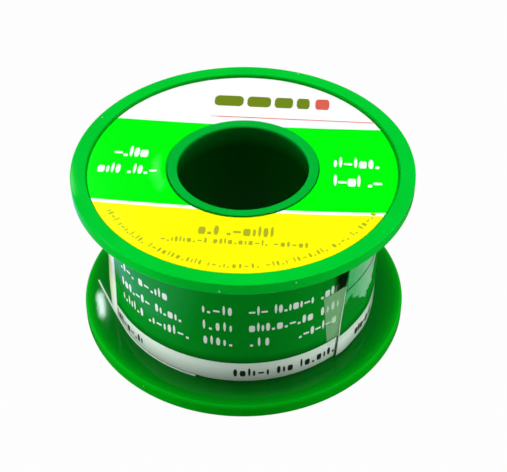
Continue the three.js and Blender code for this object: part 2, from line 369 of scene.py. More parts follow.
FLANGE_HOLE = TUBE_RADIUS + 0.04 * MM
RIM_RADIUS = 30 * MM
SEAT_RADIUS = 27.25 * MM
SEAT_DEPTH = 0.7 * MM
RIM_WALL = 1.85 * MM  # straight part of the rim's side wall
RIM_ROUNDING = 1.7 * MM  # width of the soft inner edge
COLLAR_RADIUS = 14.64 * MM
COLLAR_END = FLANGE_THICKNESS + 4 * MM
SEAT_EDGE = 0.22 * MM
OUTER_EDGE = 0.15 * MM
HOLE_EDGE = 0.24 * MM
SMALL_EDGE = 0.12 * MM
UPPER_GREEN, UPPER_SHEEN = (0.0, 0.60, 0.030), (0.05, 1.0, 0.3)
# The lower flange is the same plastic as the upper one; its darker green is painted shade.
LOWER_SHADED_GREEN = (0.0, 0.39, 0.005)
SEAT_CORNER_SHADE = (0.0, 0.36, 0.008)  # painted shade in the seat's corner
SEAT_WALL_FADE = (0.20 * MM, 0.28 * MM)  # distances from the corner's middle
WEB_SHADE_GREEN = (0.0, 0.225, 0.012)  # painted shade on the inner face, deepest next to the winding
WEB_FADE = (26.3 * MM, 30 * MM)  # distances from the axis
RIDGE_HIGHLIGHT_GREEN = (0.0, 0.46, 0.010)
RIDGE_RADIUS = 29.67 * MM  # where the rim's rounding turns down, with a painted highlight along it
RIDGE_FADE = (0.04 * MM, 0.2 * MM)  # distances from that ridge

upper_plastic = moulded_plastic("upper_flange_plastic", UPPER_GREEN, 0.035, specular=0.2, sheen=UPPER_SHEEN)
tree = upper_plastic.node_tree
# Painted shade in the corner of the sticker's seat.
from_wall = away_from(tree, axis_distance(tree), SEAT_RADIUS - SEAT_EDGE / 4)
repainted(upper_plastic, SEAT_CORNER_SHADE, ranged(tree, from_wall, *SEAT_WALL_FADE, 1, 0))

# The lower flange's plastic: the upper one's green in painted shade, with more shade painted on below.
lower_plastic = moulded_plastic("lower_flange_plastic", LOWER_SHADED_GREEN, 0.035, specular=0.1)
tree = lower_plastic.node_tree
# Painted shade on the lower flange's inner face, deepest next to the winding.
repainted(lower_plastic, WEB_SHADE_GREEN, ranged(tree, axis_distance(tree), *WEB_FADE, 1, 0))
# A painted highlight along the rim's ridge.
from_ridge = away_from(tree, axis_distance(tree), RIDGE_RADIUS)
repainted(lower_plastic, RIDGE_HIGHLIGHT_GREEN, ranged(tree, from_ridge, *RIDGE_FADE, 1, 0))

# A flange's outline, outer face down: from the hole along the seat, round the rim, back along the
# inner face, and up and down the collar.
small, soft = SMALL_EDGE, FLANGE_THICKNESS - RIM_WALL
outline = np.concatenate([
    arc(FLANGE_HOLE + HOLE_EDGE, SEAT_DEPTH + 2 * HOLE_EDGE, HOLE_EDGE, 2 * HOLE_EDGE, 180, 270, 8),
    arc(SEAT_RADIUS - small, SEAT_DEPTH - small, small, small, 90, 0),
    arc(SEAT_RADIUS + SEAT_EDGE, SEAT_EDGE, SEAT_EDGE, SEAT_EDGE, 180, 270, 8),
    arc(RIM_RADIUS - OUTER_EDGE, OUTER_EDGE, OUTER_EDGE, OUTER_EDGE, -90, 0, 8),
    arc(RIM_RADIUS - RIM_ROUNDING, RIM_WALL, RIM_ROUNDING, soft, 0, 90, 24),
    arc(COLLAR_RADIUS + small, FLANGE_THICKNESS + small, small, small, 270, 180),
    arc(COLLAR_RADIUS - small, COLLAR_END - small, small, small, 0, 90),
    arc(FLANGE_HOLE + small, COLLAR_END - small, small, small, 90, 180),
])
turned_over = outline[::-1] * (1, -1) + (0, REEL_WIDTH)
for node, flange, plastic in (
    ("lower_flange", outline, lower_plastic),
    ("upper_flange", turned_over, upper_plastic),
):
    piece = turned(node + "_drawn", flange)
    piece.data.materials.append(plastic)
    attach(piece, "root")
    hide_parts(node)


# ---------------------------------------------------------------------------------------------
# Inner windings: the layers of wire below the last one, from the tube outwards. Each turn is a
# half-round ridge, and the turns lie side by side between the flanges.

WINDING_RADIUS = 24.35 * MM  # over the last layer
INNER_GAP = 0.04 * MM
TURN_POINTS = 3  # points across one turn
TURN_RELIEF = 0.3 * WIRE_DIAMETER  # from a turn's crest to the hollow beside it

inner_radius = WINDING_RADIUS - WIRE_DIAMETER - INNER_GAP
inner_low, inner_high = FLANGE_THICKNESS + INNER_GAP, REEL_WIDTH - FLANGE_THICKNESS - INNER_GAP
inner_turns = int((inner_high - inner_low) / WIRE_DIAMETER)
across = np.arange(inner_turns * TURN_POINTS + 1) / TURN_POINTS
turn_reach = inner_radius - TURN_RELIEF * (1 - np.abs(np.sin(np.pi * across)))
turn_height = inner_low + (inner_high - inner_low) * across / inner_turns
on_tube = TUBE_RADIUS + INNER_GAP
on_collar = COLLAR_RADIUS + INNER_GAP
collar_gap = COLLAR_END + INNER_GAP
inner_windings = turned(
    "inner_windings_drawn",
    np.column_stack([turn_reach, turn_height]),
    np.array([
        (on_collar, inner_high), (on_collar, REEL_WIDTH - collar_gap), (on_tube, REEL_WIDTH - collar_gap),
        (on_tube, collar_gap), (on_collar, collar_gap), (on_collar, inner_low),
    ]),
)
inner_windings.data.materials.append(solder_metal)
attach(inner_windings, "root")
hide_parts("inner_windings")


# ---------------------------------------------------------------------------------------------
# Outer turns: the last layer of the 0.3 mm wire, wound side by side from flange to flange under
# the label. Its last turn ends at the lower flange, where the free end begins.

TURN_PITCH = 1.01 * WIRE_DIAMETER
TURNS_END_ANGLE = 252  # degrees
TURN_STEPS = 90
TURN_SIDES = 8

turn_radius = WINDING_RADIUS - WIRE_DIAMETER / 2
turns = (REEL_WIDTH - 2 * WIRE_LOWEST) / TURN_PITCH
share = np.linspace(0, 1, int(turns * TURN_STEPS))
angle = np.radians(TURNS_END_ANGLE) + 2 * np.pi * turns * (1 - share)
height = WIRE_LOWEST + (REEL_WIDTH - 2 * WIRE_LOWEST) * (1 - share)
helix = np.column_stack([turn_radius * np.cos(angle), turn_radius * np.sin(angle), height])
outer_turns = tube("outer_turns_drawn", helix, WIRE_DIAMETER, TURN_SIDES)
outer_turns.data.materials.append(solder_metal)
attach(outer_turns, "root")
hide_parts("outer_turns")


# ---------------------------------------------------------------------------------------------
# Wrap label: a laminated paper strip wound once round the wire, printed green with a white lower
# band and a white margin at one end. Its cut outer end lies on top of its beginning.

LABEL_THICKNESS = 0.15 * MM
LABEL_INNER = WINDING_RADIUS + 0.08 * MM
LABEL_LOW, LABEL_HIGH = 3.35 * MM, 28.65 * MM
LABEL_MIDDLE = (LABEL_LOW + LABEL_HIGH) / 2
LABEL_END = 314.6  # degrees, at half height
LABEL_END_LEAN = 0.25  # degrees per millimetre of height
LABEL_UNDER_END = 332.6  # degrees: where the inner end stops beneath
LABEL_STEPS, LABEL_ROWS = 540, 40
LAYER_STEP = LABEL_THICKNESS + 0.04 * MM
LAYER_RAMP = (LABEL_UNDER_END + 1, LABEL_UNDER_END + 11)  # degrees in which it comes down to the wire
WAVES = ((1.0, 3, 0.21, 0), (0.7, 7, -0.33, 1), (0.4, 16, 0.5, 0))  # size, count, twist and start
WAVE_SIZE = 0.015  # millimetres
CORNER_LIFT = 0.22  # millimetres, at the cut end's lower corner
CORNER_FADE, CORNER_TOP = (314, 324), (4, 12)  # degrees and millimetres
MARGIN_LIFT, MARGIN_FOOT_LIFT = 0.24, 0.32  # millimetres, all the way up and in its lower part
MARGIN_RISE, MARGIN_FALL = (526, 540), (552, 566)  # degrees, counted on into the second turn
MARGIN_FOOT = (6, 14)  # millimetres


def smooth(value, low, high):
    """0 below low, 1 above high, and 3t^2 - 2t^3 between, with t the share of the way."""
    t = np.clip((value - low) / (high - low), 0, 1)
    return t * t * (3 - 2 * t)


def label_radius(degrees, height):
    """Inner radius of the label: it lies on its own first end by one layer's thickness, comes down
    to the wire just past it, and follows the wire in slow waves, a sum of sines of the angle and
    the height. Its loose lower corner and its white margin stand off a little."""
    on_top = 1 - smooth(degrees, *LAYER_RAMP)
    a, z = np.radians(degrees), height / MM
    waves = sum(size * (np.sin(count * a + twist * z + start) + 1) for size, count, twist, start in WAVES)
    corner = (1 - smooth(degrees, *CORNER_FADE)) * (1 - smooth(z, *CORNER_TOP))
    margin = smooth(degrees, *MARGIN_RISE) * (1 - smooth(degrees, *MARGIN_FALL))
    margin_lift = MARGIN_LIFT + MARGIN_FOOT_LIFT * (1 - smooth(z, *MARGIN_FOOT))
    lift = WAVE_SIZE * waves + CORNER_LIFT * corner + margin_lift * margin
    return LABEL_INNER + LAYER_STEP * on_top + lift * MM


def wrapped(name, start, end, low, high, thickness, radius, steps, rows):
    """A strip wrapped round the Z axis. Its cross-section is a thin upright rectangle: up the outer
    side, down the inner side. start and end give the angle of each end in degrees for a height, and
    radius the inner radius for an angle and a height. Its UV map holds the angle in degrees and the
    height in millimetres."""
    rise = np.linspace(low, high, rows)
    height = np.concatenate([rise, rise[::-1]])[None, :]
    share = np.linspace(0, 1, steps)[:, None]
    degrees = start(height) + share * (end(height) - start(height))
    outward = np.concatenate([np.ones(rows), np.zeros(rows)])[None, :]
    reach = radius(degrees, height) + thickness * outward
    a = np.radians(degrees)
    x, y, z = np.broadcast_arrays(reach * np.cos(a), reach * np.sin(a), height)
    uv = np.stack(np.broadcast_arrays(degrees, height / MM), -1)
    return surface(name, np.stack([x, y, z], -1), around=False, uv=uv)


PRINT_GREEN = (0.0, 0.30, 0.014)
PRINT_GREEN_THIN = (0.0, 0.28, 0.014)
PRINT_GREEN_SHADED = (0.0, 0.13, 0.006)
SHADE_REACH = 2  # millimetres above the band, over which painted shade on the green fades out
LABEL_SHEEN = (0.0, 0.4, 0.08, 1.0)
FIBRE_SCALE = 1100
BUCKLE_SCALE, BUCKLE_DEPTH = 220, 0.012 * MM
PAPER_WHITE = (0.92, 0.99, 0.92)
MARGIN_START, MARGIN_END = 178, 202.4  # degrees: the white unprinted margin, at half height
MARGIN_LEAN = 0.16  # degrees per millimetre of height
CUT_EDGE = 0.4  # degrees of bare paper along the lower part of the cut end
CUT_EDGE_TOP = (17, 21)  # millimetres, between which it runs out
BAND_TOP = 7.75 * MM
BAND_WHITE = (0.81, 0.93, 0.83)
BAND_PAINTED_SHADE = (0.33, 0.42, 0.35)  # painted shade at the lower edge, next to the lower flange
SHADE_HEIGHT, SHADE_SHARE = 3.2, 0.85  # millimetres
BAND_DIP = 1.5 * MM  # the band's printed border comes down towards the margin, from DIP_START on
DIP_START, DIP_END = 262, 200  # degrees
DIP_STOP = 188  # degrees: inside the margin, where the border doesn't show
ADHESIVE = (0.92, 0.88, 0.32)
GLUE_PLACE = (190.0, 15.5)  # angle and height of the middle of a patch where adhesive shows through
GLUE_SIDES, GLUE_ENDS = (6.5, 8.5), (7.5, 10.5)  # degrees and millimetres from there to its soft edges
GLUE_SCALE, GLUE_RAGGED = 400, 1.5  # the unevenness of its sides, in degrees
GLUE_SHARE = 0.55


def over(tree, value, level):
    """1 where a value is above a level, else 0."""
    return maths(tree, "GREATER_THAN", value, level)


def under(tree, value, level):
    """1 where a value is below a level, else 0."""
    return maths(tree, "LESS_THAN", value, level)


def strip_place(tree):
    """The angle in degrees and the height in millimetres of a point on a wrapped strip."""
    flat = tree.nodes.new("ShaderNodeUVMap")
    flat.uv_map = "surface"
    split = tree.nodes.new("ShaderNodeSeparateXYZ")
    tree.links.new(flat.outputs["UV"], split.inputs["Vector"])
    return split.outputs["X"], split.outputs["Y"]


def at_half_height(tree, degrees, height, lean):
    """The angle at which a line that leans by so many degrees per millimetre, and passes through a
    point of the strip, crosses the label's half height."""
    above_middle = maths(tree, "SUBTRACT", height, LABEL_MIDDLE / MM)
    return maths(tree, "SUBTRACT", degrees, both(tree, above_middle, lean))


label_laminate, tree, shader = material(
    "label_laminate", PRINT_GREEN, 0.07, Specular_IOR_Level=0.35, Specular_Tint=LABEL_SHEEN
)
degrees, height = strip_place(tree)
# Bare paper: the margin, and the cut edge, which is wider at its foot.
on_margin = at_half_height(tree, degrees, height, MARGIN_LEAN)
margin = both(tree, over(tree, on_margin, MARGIN_START + 360), under(tree, on_margin, MARGIN_END + 360))
on_end = at_half_height(tree, degrees, height, LABEL_END_LEAN)
from_end = maths(tree, "SUBTRACT", on_end, ranged(tree, height, *CUT_EDGE_TOP, CUT_EDGE, 0))
bare = maths(tree, "MAXIMUM", margin, under(tree, from_end, LABEL_END))
# The band's border dips by the cube of the way from DIP_START to DIP_END.
dip = maths(tree, "POWER", ranged(tree, degrees, DIP_END + 360, DIP_START + 360, 1, 0), 3)
dip = both(tree, both(tree, dip, over(tree, degrees, DIP_STOP + 360)), BAND_DIP / MM)
from_band = maths(tree, "SUBTRACT", maths(tree, "ADD", height, dip), BAND_TOP / MM)
banded = over(tree, under(tree, from_band, 0), margin)
# Painted shade on the band, darkest at its lower edge.
shaded_foot = ranged(tree, height, LABEL_LOW / MM, LABEL_LOW / MM + SHADE_HEIGHT, SHADE_SHARE, 0)
fibres = ranged(tree, noise(tree, FIBRE_SCALE, detail=4), *NOISE_RANGE, 0, 1)
ink = painted(tree, PRINT_GREEN_THIN, PRINT_GREEN, fibres)
# Painted shade on the green just above the band, near the lower flange.
ink = painted(tree, ink, PRINT_GREEN_SHADED, ranged(tree, from_band, 0, SHADE_REACH, 1, 0))
paper = painted(tree, painted(tree, ink, PAPER_WHITE, bare), BAND_WHITE, banded)
paper = painted(tree, paper, BAND_PAINTED_SHADE, both(tree, shaded_foot, banded))
# Adhesive shows through in a ragged patch with soft edges.
ragged = ranged(tree, noise(tree, GLUE_SCALE), *NOISE_RANGE, -GLUE_RAGGED, GLUE_RAGGED)
from_glue = maths(tree, "SUBTRACT", degrees, GLUE_PLACE[0] + 360)
from_glue = maths(tree, "ABSOLUTE", maths(tree, "ADD", from_glue, ragged), 0)
glued = ranged(tree, from_glue, *GLUE_SIDES, GLUE_SHARE, 0)
glued = both(tree, glued, ranged(tree, away_from(tree, height, GLUE_PLACE[1]), *GLUE_ENDS, 1, 0))
tree.links.new(painted(tree, paper, ADHESIVE, glued), shader.inputs["Base Color"])
bump(tree, shader, noise(tree, BUCKLE_SCALE, detail=2), BUCKLE_DEPTH)


def label_end_at(height):
    """The angle in degrees of the label's leaning cut end, at a height."""
    return LABEL_END + LABEL_END_LEAN * (height - LABEL_MIDDLE) / MM


wrap_label = wrapped(
    "wrap_label_drawn",
    label_end_at,
    lambda height: LABEL_UNDER_END + 360 + 0 * height,
    LABEL_LOW,
    LABEL_HIGH,
    LABEL_THICKNESS,
    label_radius,
    LABEL_STEPS,
    LABEL_ROWS,
)
wrap_label.data.materials.append(label_laminate)
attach(wrap_label, "root")
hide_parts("wrap_label")


# ---------------------------------------------------------------------------------------------
# Label print: rows of plain white dashes on the green, and black ones on the white band. They are
# ink on the label, so thin that they only just stand above it.

INK_LIFT = 0.012 * MM
INK_SINK = 0.03 * MM
BAR_COLUMNS = np.array([-1, -0.9, -0.72, -0.5, -0.25, 0, 0.25, 0.5, 0.72, 0.9, 1])  # of half a length
END_ROUNDING, END_BLUNTED = 0.12, 0.92  # shares of a bar's longer side, and of a full half circle
white_ink, *_ = material("white_ink", (0.88, 1.0, 0.90), 0.25, Specular_IOR_Level=0.4)
black_ink, *_ = material("black_ink", (0.012, 0.012, 0.014), 0.3, Specular_IOR_Level=0.4)


def inked(name, ink, bars, place):
    """Flat bars with rounded ends, each a row (u, v, length, height) of the array bars, in metres.
    Across a bar of half length L and end radius c, the half height at a distance x from its middle
    is half the height times the square root of 1 - t^2, with t how far x is into the last c of the
    bar. place carries (u, v, lift) to a point of the reel."""
    u, v, length, height = (column[:, None] for column in np.asarray(bars).T)
    x = BAR_COLUMNS * length / 2
    rounding = np.minimum(END_ROUNDING * np.maximum(height, length), np.minimum(height, length) / 2)
    into_end = np.clip((np.abs(x) - (length / 2 - rounding)) / rounding, 0, END_BLUNTED)
    half = height / 2 * np.sqrt(1 - into_end**2)
    loop = np.array([(-1, INK_LIFT), (1, INK_LIFT), (1, -INK_SINK), (-1, -INK_SINK)])
    across = v[..., None] + half[..., None] * loop[:, 0]
    along, across, lift = np.broadcast_arrays((u + x)[..., None], across, loop[:, 1])
    piece = surface(name, np.stack(place(along, across, lift), -1), around=False)
    piece.data.materials.append(ink)
    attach(piece, "root")


def on_label(along, height, lift):
    """A point on the label's outside: along is the arc length from the reel's zero angle."""
    degrees = np.degrees(along / WINDING_RADIUS)
    past_end = degrees > label_end_at(height)
    strip = np.where(past_end, degrees, degrees + 360)
    reach = label_radius(strip, height) + LABEL_THICKNESS + lift
    a = np.radians(degrees)
    return reach * np.cos(a), reach * np.sin(a), height


def on_band(along, height, lift):
    """A point on the label's outside that dips half as far as the band's border does."""
    way = np.clip((DIP_START - np.degrees(along / WINDING_RADIUS)) / (DIP_START - DIP_END), 0, 1)
    return on_label(along, height - BAND_DIP / 2 * way**3, lift)


def on_arc(degrees):
    """The arc length, on the winding, from the reel's zero angle to an angle."""
    return np.radians(degrees) * WINDING_RADIUS


# Each mark of a row: its length, height and the height of its middle, as shares of the row's height.
MARKS = (
    (0.19, 1.0, 0.5), (0.19, 0.68, 0.34), (0.46, 0.68, 0.34),
    (0.3, 0.85, 0.42), (0.5, 0.2, 0.34), (0.24, 0.24, 0.12),
)
MARK_GAP, WORD_GAP = 0.15, 0.4  # shares of the row's height: after a mark, and after a word besides
MARK_SEED = 7


def marks(draw, start, end, height, tall, words):
    """A row of plain marks from start to end about a height, all in one unit: words of the given
    numbers of marks in turn. Marks are drawn by lot from the table, and no two alike follow."""
    bars, at, last = [], start, None
    for word in words:
        for _ in range(word):
            kind = draw.choice([k for k in range(len(MARKS)) if k != last])
            length, high, middle = (tall * share for share in MARKS[kind])
            bars.append((at + length / 2, height - tall / 2 + middle, length, high))
            at, last = at + length + MARK_GAP * tall, kind
        at += WORD_GAP * tall
    bars = np.array(bars)
    row_end = at - (MARK_GAP + WORD_GAP) * tall
    bars[:, 0] = start + (bars[:, 0] - start) * (end - start) / (row_end - start)
    return bars.tolist()


# The white rows by height, and each stretch of a row: its first and last angle and its words.
WHITE_ROWS = (
    (20.6 * MM, ((211, 239, (4, 6)), (254, 266, (5,)), (272.5, 299, (3, 8)), (302.5, 312, (4,)))),
    (16.7 * MM, ((211, 245, (7, 6)), (254, 266, (5,)), (272.5, 299, (11,)), (302.5, 312, (4,)))),
    (13.1 * MM, ((211, 248, (7, 8)), (254, 266, (5,)), (272.5, 281, (3,)), (293, 311, (7,)))),
)
WHITE_TALL = 2.2 * MM
BLACK_ROW = ((201, 223, (9,)), (266, 311, (6, 3, 7)), (324, 340, (7,)))
BLACK_HEIGHT, BLACK_TALL = 5.5 * MM, 2.1 * MM

draw = np.random.default_rng(MARK_SEED)
label_dashes, band_dashes = [], []
for height, stretches in WHITE_ROWS:
    for start, end, words in stretches:
        label_dashes += marks(draw, on_arc(start), on_arc(end), height, WHITE_TALL, words)
for start, end, words in BLACK_ROW:
    band_dashes += marks(draw, on_arc(start), on_arc(end), BLACK_HEIGHT, BLACK_TALL, words)
inked("label_dashes", white_ink, label_dashes, on_label)
inked("band_dashes", black_ink, band_dashes, on_band)


# ---------------------------------------------------------------------------------------------
# Seam tape: clear adhesive tape over the label's cut end, stuck half on the layer beneath and half
# on the end itself. Its left half is hazy below, where it hasn't quite taken, and dark above. Its
# right half has a painted pale reflection above a ragged line, brighter at its end and in spots,
# crossed by a thin dark line of painted reflection.

TAPE_THICKNESS = 0.1 * MM
TAPE_LOW, TAPE_HIGH = 6.75 * MM, 27.25 * MM
TAPE_LEFT, TAPE_LEFT_LEAN = 304.5, -0.25  # degrees at half height, and degrees per millimetre
TAPE_RIGHT = 351.0  # degrees
TAPE_LIFT = 0.02 * MM
TAPE_CLIMB = (-1.6, -0.3)  # degrees from the cut end
TAPE_STEPS, TAPE_ROWS = 120, 30
WRINKLE_SCALE, WRINKLE_DEPTH = 350, 0.008 * MM
TAPE_GREEN = (0.0, 0.26, 0.02)
TAPE_HAZE = (0.55, 0.92, 0.55)
TAPE_DARK = (0.0, 0.01, 0.0)
# Painted reflections on the right half: pale, then brighter, and a thin dark line.
TAPE_PALE_REFLECTION = (0.16, 0.92, 0.34)
TAPE_BRIGHT_REFLECTION = (0.86, 1.0, 0.90)
SEAM_CLEAR = 0.2  # degrees: how near the seam the two halves' finishes end
HAZE_LOW, HAZE_HIGH = 8.2, 19.5  # millimetres, and dark above that
DARK_FADE = (308.5, 311)  # degrees
REFLECTION_LOW, REFLECTION_SCALE = (12.9, 15.1), 700  # heights of the painted reflection's ragged lower edge
REFLECTION_CREST, REFLECTION_WAVE, REFLECTION_WAVE_HEIGHT = 318, 24, 1.7  # its slow wave, in degrees and millimetres
REFLECTION_RISE = (338, 350, 0, 7)  # degrees between which that edge rises by so many millimetres
BRIGHT_REFLECTION_FADE = (318, 348, 0, 0.9)  # degrees between which the brighter painted reflection comes to this share
BRIGHT_SPOT_SCALE, BRIGHT_SPOT_FADE, BRIGHT_SPOT_LEVEL = 1100, (330, 347, -0.5, 0.05), 0.48
DARK_LINE_PLACE, DARK_LINE_SLOPE = (321, 18.35), 0.035  # degrees and millimetres, and millimetres per degree
DARK_LINE_HALF_WIDTH = 0.13  # millimetres
CLEAR_COVER = 0.04  # how much the clear tape hides, and how much more each overlay on it hides: haze, dark patch and painted reflections
HAZE_COVER, DARK_COVER, REFLECTION_COVER, DARK_LINE_COVER, BRIGHT_REFLECTION_COVER = 0.2, 0.6, 0.275, 0.5, 0.46


def tape_radius(degrees, height):
    """Inner radius of the tape: it lies on the label, and climbs from the layer beneath to the cut
    end in the last degree and a half before it."""
    climb = smooth(degrees - label_end_at(height), *TAPE_CLIMB)
    beneath, on_top = label_radius(degrees + 360, height), label_radius(degrees, height)
    return beneath + climb * (on_top - beneath) + LABEL_THICKNESS + TAPE_LIFT


clear_tape, tree, shader = material(
    "clear_tape", TAPE_GREEN, 0.05, Specular_IOR_Level=0.3, Specular_Tint=LABEL_SHEEN
)
degrees, height = strip_place(tree)
to_seam = at_half_height(tree, degrees, height, LABEL_END_LEAN)
left = under(tree, to_seam, LABEL_END - SEAM_CLEAR)
taken = over(tree, height, HAZE_HIGH)
hazy = both(tree, left, maths(tree, "SUBTRACT", 1.0, taken))
hazy = both(tree, hazy, over(tree, height, HAZE_LOW))
dark = both(tree, both(tree, left, taken), ranged(tree, degrees, *DARK_FADE, 0, 1))
right = over(tree, to_seam, LABEL_END + CUT_EDGE + SEAM_CLEAR)
wave = both(tree, maths(tree, "SUBTRACT", degrees, REFLECTION_CREST), np.radians(360 / REFLECTION_WAVE))
wave = both(tree, maths(tree, "COSINE", wave, 0), REFLECTION_WAVE_HEIGHT)
ragged = ranged(tree, noise(tree, REFLECTION_SCALE, detail=2), *NOISE_RANGE, *REFLECTION_LOW)
ragged = maths(tree, "ADD", ragged, ranged(tree, degrees, *REFLECTION_RISE))
# loose: the part of the right half where a pale reflection is painted, above a ragged wavy line.
loose = both(tree, right, over(tree, height, maths(tree, "ADD", wave, ragged)))
# A thin dark line of painted reflection.
dark_line_height = DARK_LINE_PLACE[1] - DARK_LINE_SLOPE * DARK_LINE_PLACE[0]
dark_line_height = maths(tree, "ADD", both(tree, degrees, DARK_LINE_SLOPE), dark_line_height)
dark_line = both(tree, right, under(tree, away_from(tree, height, dark_line_height), DARK_LINE_HALF_WIDTH))
# A brighter painted reflection towards the right end, and in spots.
bright_reflection = both(tree, loose, ranged(tree, degrees, *BRIGHT_REFLECTION_FADE))
spots = maths(tree, "ADD", noise(tree, BRIGHT_SPOT_SCALE), ranged(tree, degrees, *BRIGHT_SPOT_FADE))
bright_reflection = maths(tree, "MAXIMUM", bright_reflection, both(tree, loose, over(tree, spots, BRIGHT_SPOT_LEVEL)))
film = TAPE_GREEN
cover = CLEAR_COVER
for overlay, colour, more in (
    (hazy, TAPE_HAZE, HAZE_COVER),
    (dark, TAPE_DARK, DARK_COVER),
    (loose, TAPE_PALE_REFLECTION, REFLECTION_COVER),
    (bright_reflection, TAPE_BRIGHT_REFLECTION, BRIGHT_REFLECTION_COVER),
    (dark_line, TAPE_DARK, DARK_LINE_COVER),
):
    film = painted(tree, film, colour, overlay)
    cover = maths(tree, "ADD", both(tree, overlay, more), cover)
tree.links.new(film, shader.inputs["Base Color"])
tree.links.new(cover, shader.inputs["Alpha"])
bump(tree, shader, noise(tree, WRINKLE_SCALE, detail=2), WRINKLE_DEPTH)

seam_tape = wrapped(
    "seam_tape_drawn",
    lambda height: TAPE_LEFT + TAPE_LEFT_LEAN * (height - LABEL_MIDDLE) / MM,
    lambda height: TAPE_RIGHT + 0 * height,
    TAPE_LOW,
    TAPE_HIGH,
    TAPE_THICKNESS,
    tape_radius,
    TAPE_STEPS,
    TAPE_ROWS,
)
seam_tape.data.materials.append(clear_tape)
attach(seam_tape, "root")
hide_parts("seam_tape")


# ---------------------------------------------------------------------------------------------
# Face sticker: a ring of printed paper in the upper flange's seat: white at the back, green in the
# middle, a white line, and yellow in front. Its inner edge curls up a little beside the tube.

STICKER_THICKNESS = 0.12 * MM
STICKER_MARGIN = 0.25 * MM  # bare seat round the sticker's edges
STICKER_GLUE = 0.02 * MM
STICKER_STEPS = 44  # points across the ring
STICKER_CURL, CURL_WIDTH = 0.18 * MM, 3.4 * MM
CURL_FADE = (0.85, 0.98)  # cosines of the angle from the left, between which the curl comes in
STICKER_OFF_CENTRE = (-0.09 * MM, 0.03 * MM)  # it was laid by hand
STICKER_GREEN = (0.0, 0.95, 0.003)
STICKER_YELLOW = (0.97, 0.95, 0.003)
STICKER_WHITE = (0.96, 0.96, 0.96)
STICKER_SHEEN = (0.05, 1.0, 0.35, 1.0)
DIMPLE_SCALE, DIMPLE_DEPTH = 260, 0.004 * MM
# Each printed border is a shallow curve y = a + b x + c x^2, in millimetres.
WHITE_BORDER = (12.0, -0.08, 0.0009)
LINE_BORDER = (-11.08, -0.077, 0.0011)
YELLOW_BORDER = (-11.86, -0.077, 0.0011)

sticker_low = REEL_WIDTH - SEAT_DEPTH + STICKER_GLUE
sticker_inner, sticker_outer = TUBE_RADIUS + STICKER_MARGIN, SEAT_RADIUS - STICKER_MARGIN


def sticker_height(x, y):
    """Height of the sticker's underside: flat, with its inner edge curled up at the left."""
    radius, turn = np.hypot(x, y), np.arctan2(y, x)
    near_tube = 1 - smooth(radius, sticker_inner, sticker_inner + CURL_WIDTH)
    return sticker_low + STICKER_CURL * near_tube * smooth(-np.cos(turn), *CURL_FADE)


sticker_paper, tree, shader = material(
    "sticker_paper", STICKER_GREEN, 0.11, Specular_IOR_Level=0.3, Specular_Tint=STICKER_SHEEN
)
spot = place_on(tree)
x, y = (maths(tree, "DIVIDE", spot[axis], MM) for axis in "XY")
# The colours from the front backwards: each takes over behind its border, y > a + (b + c x) x.
print_colour = STICKER_YELLOW
for (a, b, c), colour in (
    (YELLOW_BORDER, STICKER_WHITE), (LINE_BORDER, STICKER_GREEN), (WHITE_BORDER, STICKER_WHITE),
):
    slope = maths(tree, "ADD", both(tree, x, c), b)
    border = maths(tree, "ADD", both(tree, x, slope), a)
    print_colour = painted(tree, print_colour, colour, over(tree, y, border))
tree.links.new(print_colour, shader.inputs["Base Color"])
bump(tree, shader, noise(tree, DIMPLE_SCALE, detail=2), DIMPLE_DEPTH)

reach = np.linspace(sticker_inner, sticker_outer, STICKER_STEPS)
loop_radius = np.concatenate([reach, reach[::-1]])[None, :]
loop_lift = np.repeat([0.0, STICKER_THICKNESS], STICKER_STEPS)[None, :]
angle = np.linspace(0, 2 * np.pi, ROUND_STEPS, endpoint=False)[:, None]
x = loop_radius * np.cos(angle) + STICKER_OFF_CENTRE[0]
y = loop_radius * np.sin(angle) + STICKER_OFF_CENTRE[1]
face_sticker = surface("face_sticker_drawn", np.stack([x, y, sticker_height(x, y) + loop_lift], -1))
face_sticker.data.materials.append(sticker_paper)
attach(face_sticker, "root")
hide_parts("face_sticker")


# ---------------------------------------------------------------------------------------------
# Sticker print: plain bars in white on the green, in olive on the yellow and white, a red block
# and a thin red rule. It is ink like the label's, and is laid out in millimetres.

PRINT_TILT = -0.075  # the print's slope on the reel
ARC_RADIUS = 25  # millimetres: the middle of the arc of marks at the front
olive_ink, *_ = material("olive_ink", (0.16, 0.24, 0.01), 0.3, Specular_IOR_Level=0.25)
pale_olive_ink, *_ = material("pale_olive_ink", (0.42, 0.45, 0.02), 0.3, Specular_IOR_Level=0.25)
red_ink, *_ = material("red_ink", (0.70, 0.12, 0.08), 0.3, Specular_IOR_Level=0.25)


def on_sticker(along, across, lift):
    """A point on the sticker: its print is turned a little about the reel's axis."""
    size = np.hypot(1, PRINT_TILT)
    x = (along - PRINT_TILT * across) / size
    y = (across + PRINT_TILT * along) / size
    return x, y, sticker_height(x, y) + STICKER_THICKNESS + lift


def on_sticker_arc(along, across, lift):
    """A point on an arc about the reel's axis: along is the arc length from the zero angle at the
    arc's radius, and across the distance inwards from that arc."""
    turn, reach = along / (ARC_RADIUS * MM), ARC_RADIUS * MM - across
    x, y = reach * np.cos(turn), reach * np.sin(turn)
    return x, y, sticker_height(x, y) + STICKER_THICKNESS + lift


